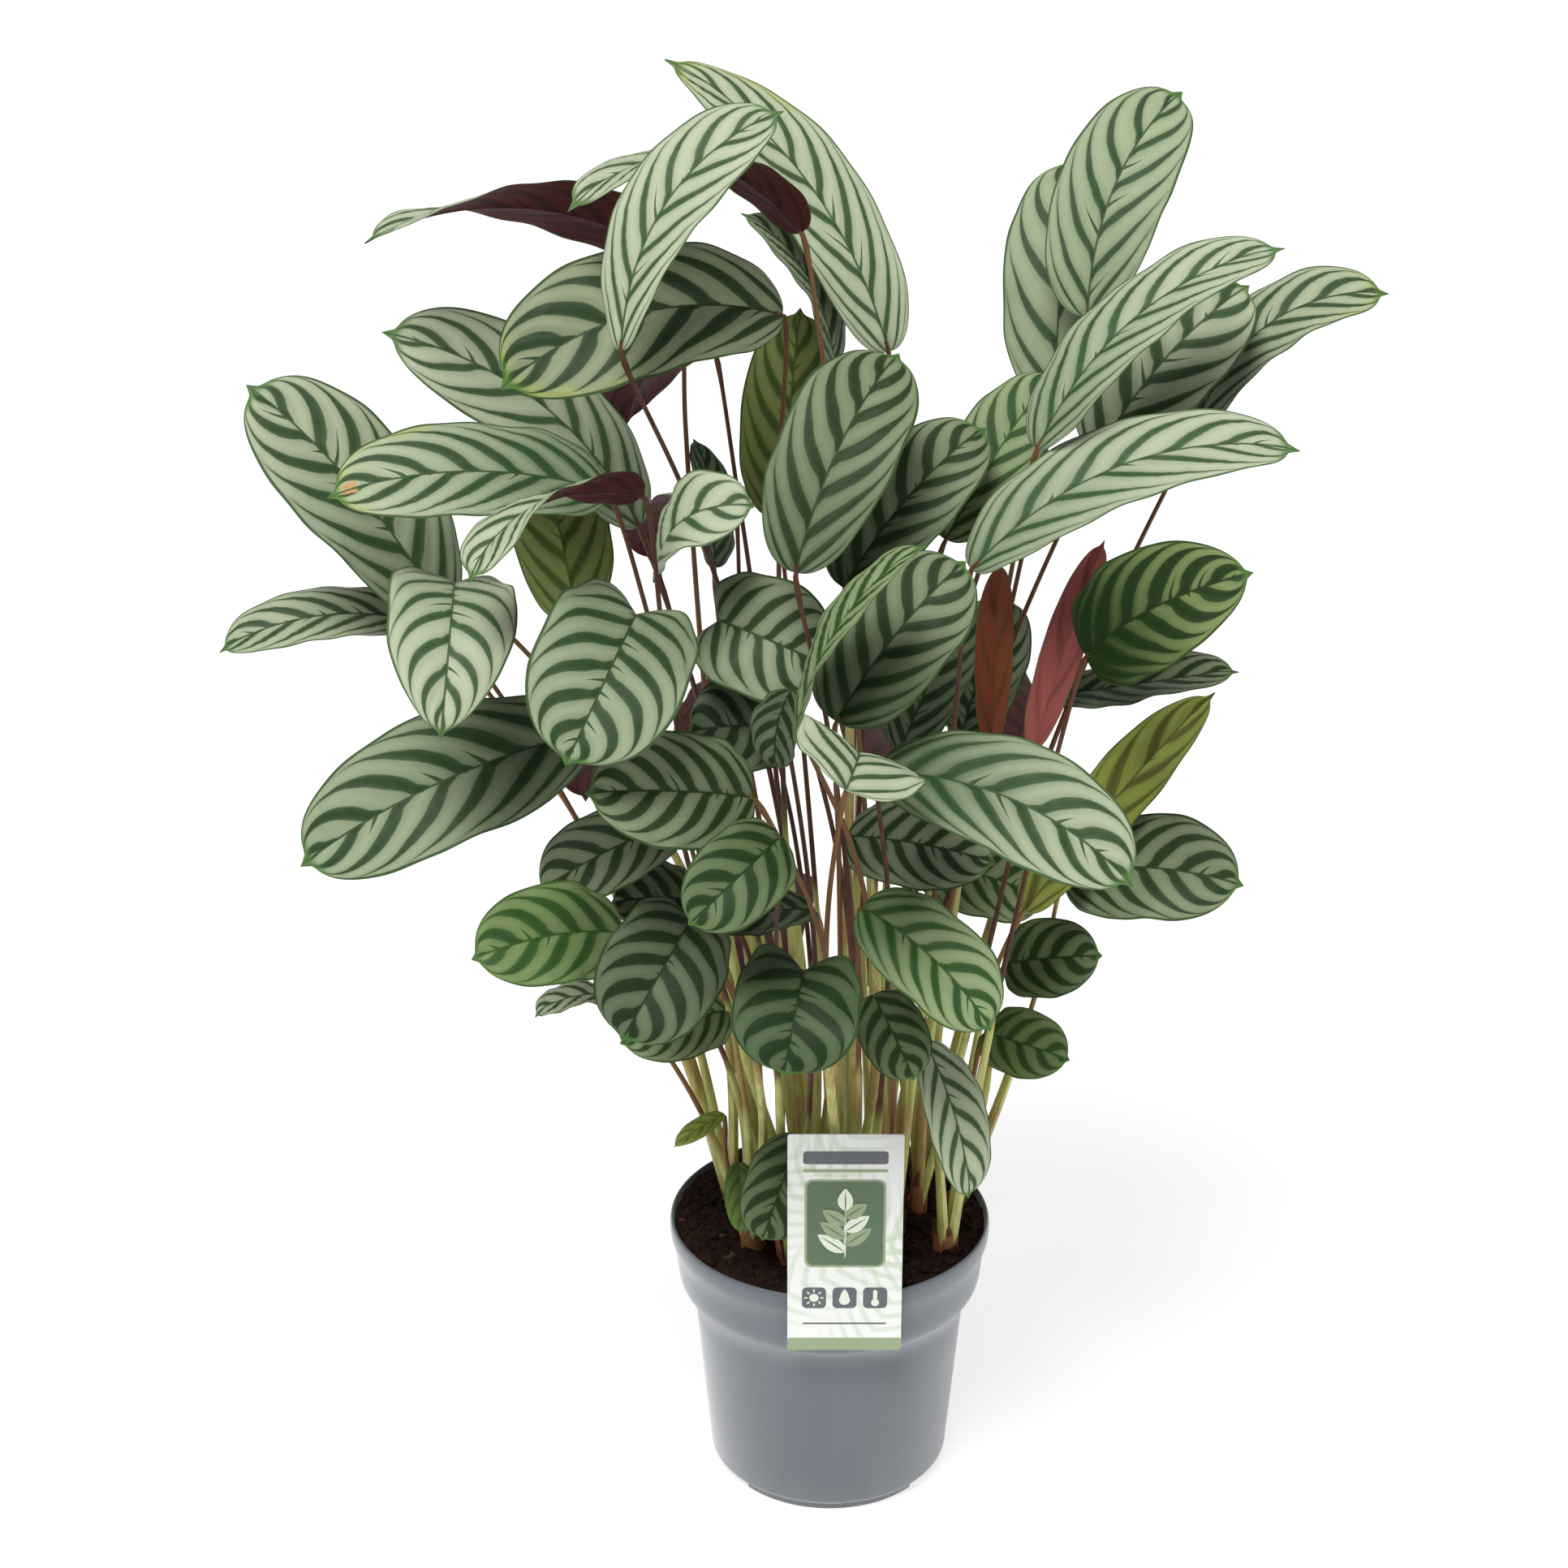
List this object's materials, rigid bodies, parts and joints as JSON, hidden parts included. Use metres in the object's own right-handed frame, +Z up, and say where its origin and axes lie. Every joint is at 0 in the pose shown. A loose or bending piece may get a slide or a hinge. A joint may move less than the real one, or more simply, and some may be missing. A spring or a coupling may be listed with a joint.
{
  "type": "potted prayer plant",
  "caption": "Prayer plant with long-stalked striped leaves rising in shoots from peat in a round plastic nursery pot, with a plain care card hooked on the rim",
  "frame": {"origin": "middle of the pot's base, on the surface that it stands on", "axes": "+Z up along the pot's axis, -Y the front with the care card, +X to the viewer's right"},
  "size_m": [0.7109, 0.4998, 0.9093],
  "materials": {
    "pot_plastic": "satin blue-grey moulded plastic",
    "peat": "loose dark peat",
    "card": "smooth printed card",
    "foliage": "satin leaf, silvery green with dark green bands, maroon beneath"
  },
  "bodies": {
    "root": {"pot": "pot_plastic", "peat": "peat", "care_card": "card", "shoot_left_front": "foliage", "shoot_left": "foliage", "shoot_left_back": "foliage", "shoot_left_middle": "foliage", "shoot_front_left": "foliage", "shoot_centre_left": "foliage", "shoot_centre": "foliage", "shoot_front_right": "foliage", "shoot_centre_front": "foliage", "shoot_centre_back": "foliage", "shoot_right_front": "foliage", "shoot_right_inner": "foliage", "shoot_right": "foliage", "shoot_right_back": "foliage", "shoot_right_outer": "foliage", "shoot_right_far": "foliage", "shoot_back": "foliage", "shoot_back_right": "foliage", "shoot_back_left": "foliage"}
  },
  "joints": []
}
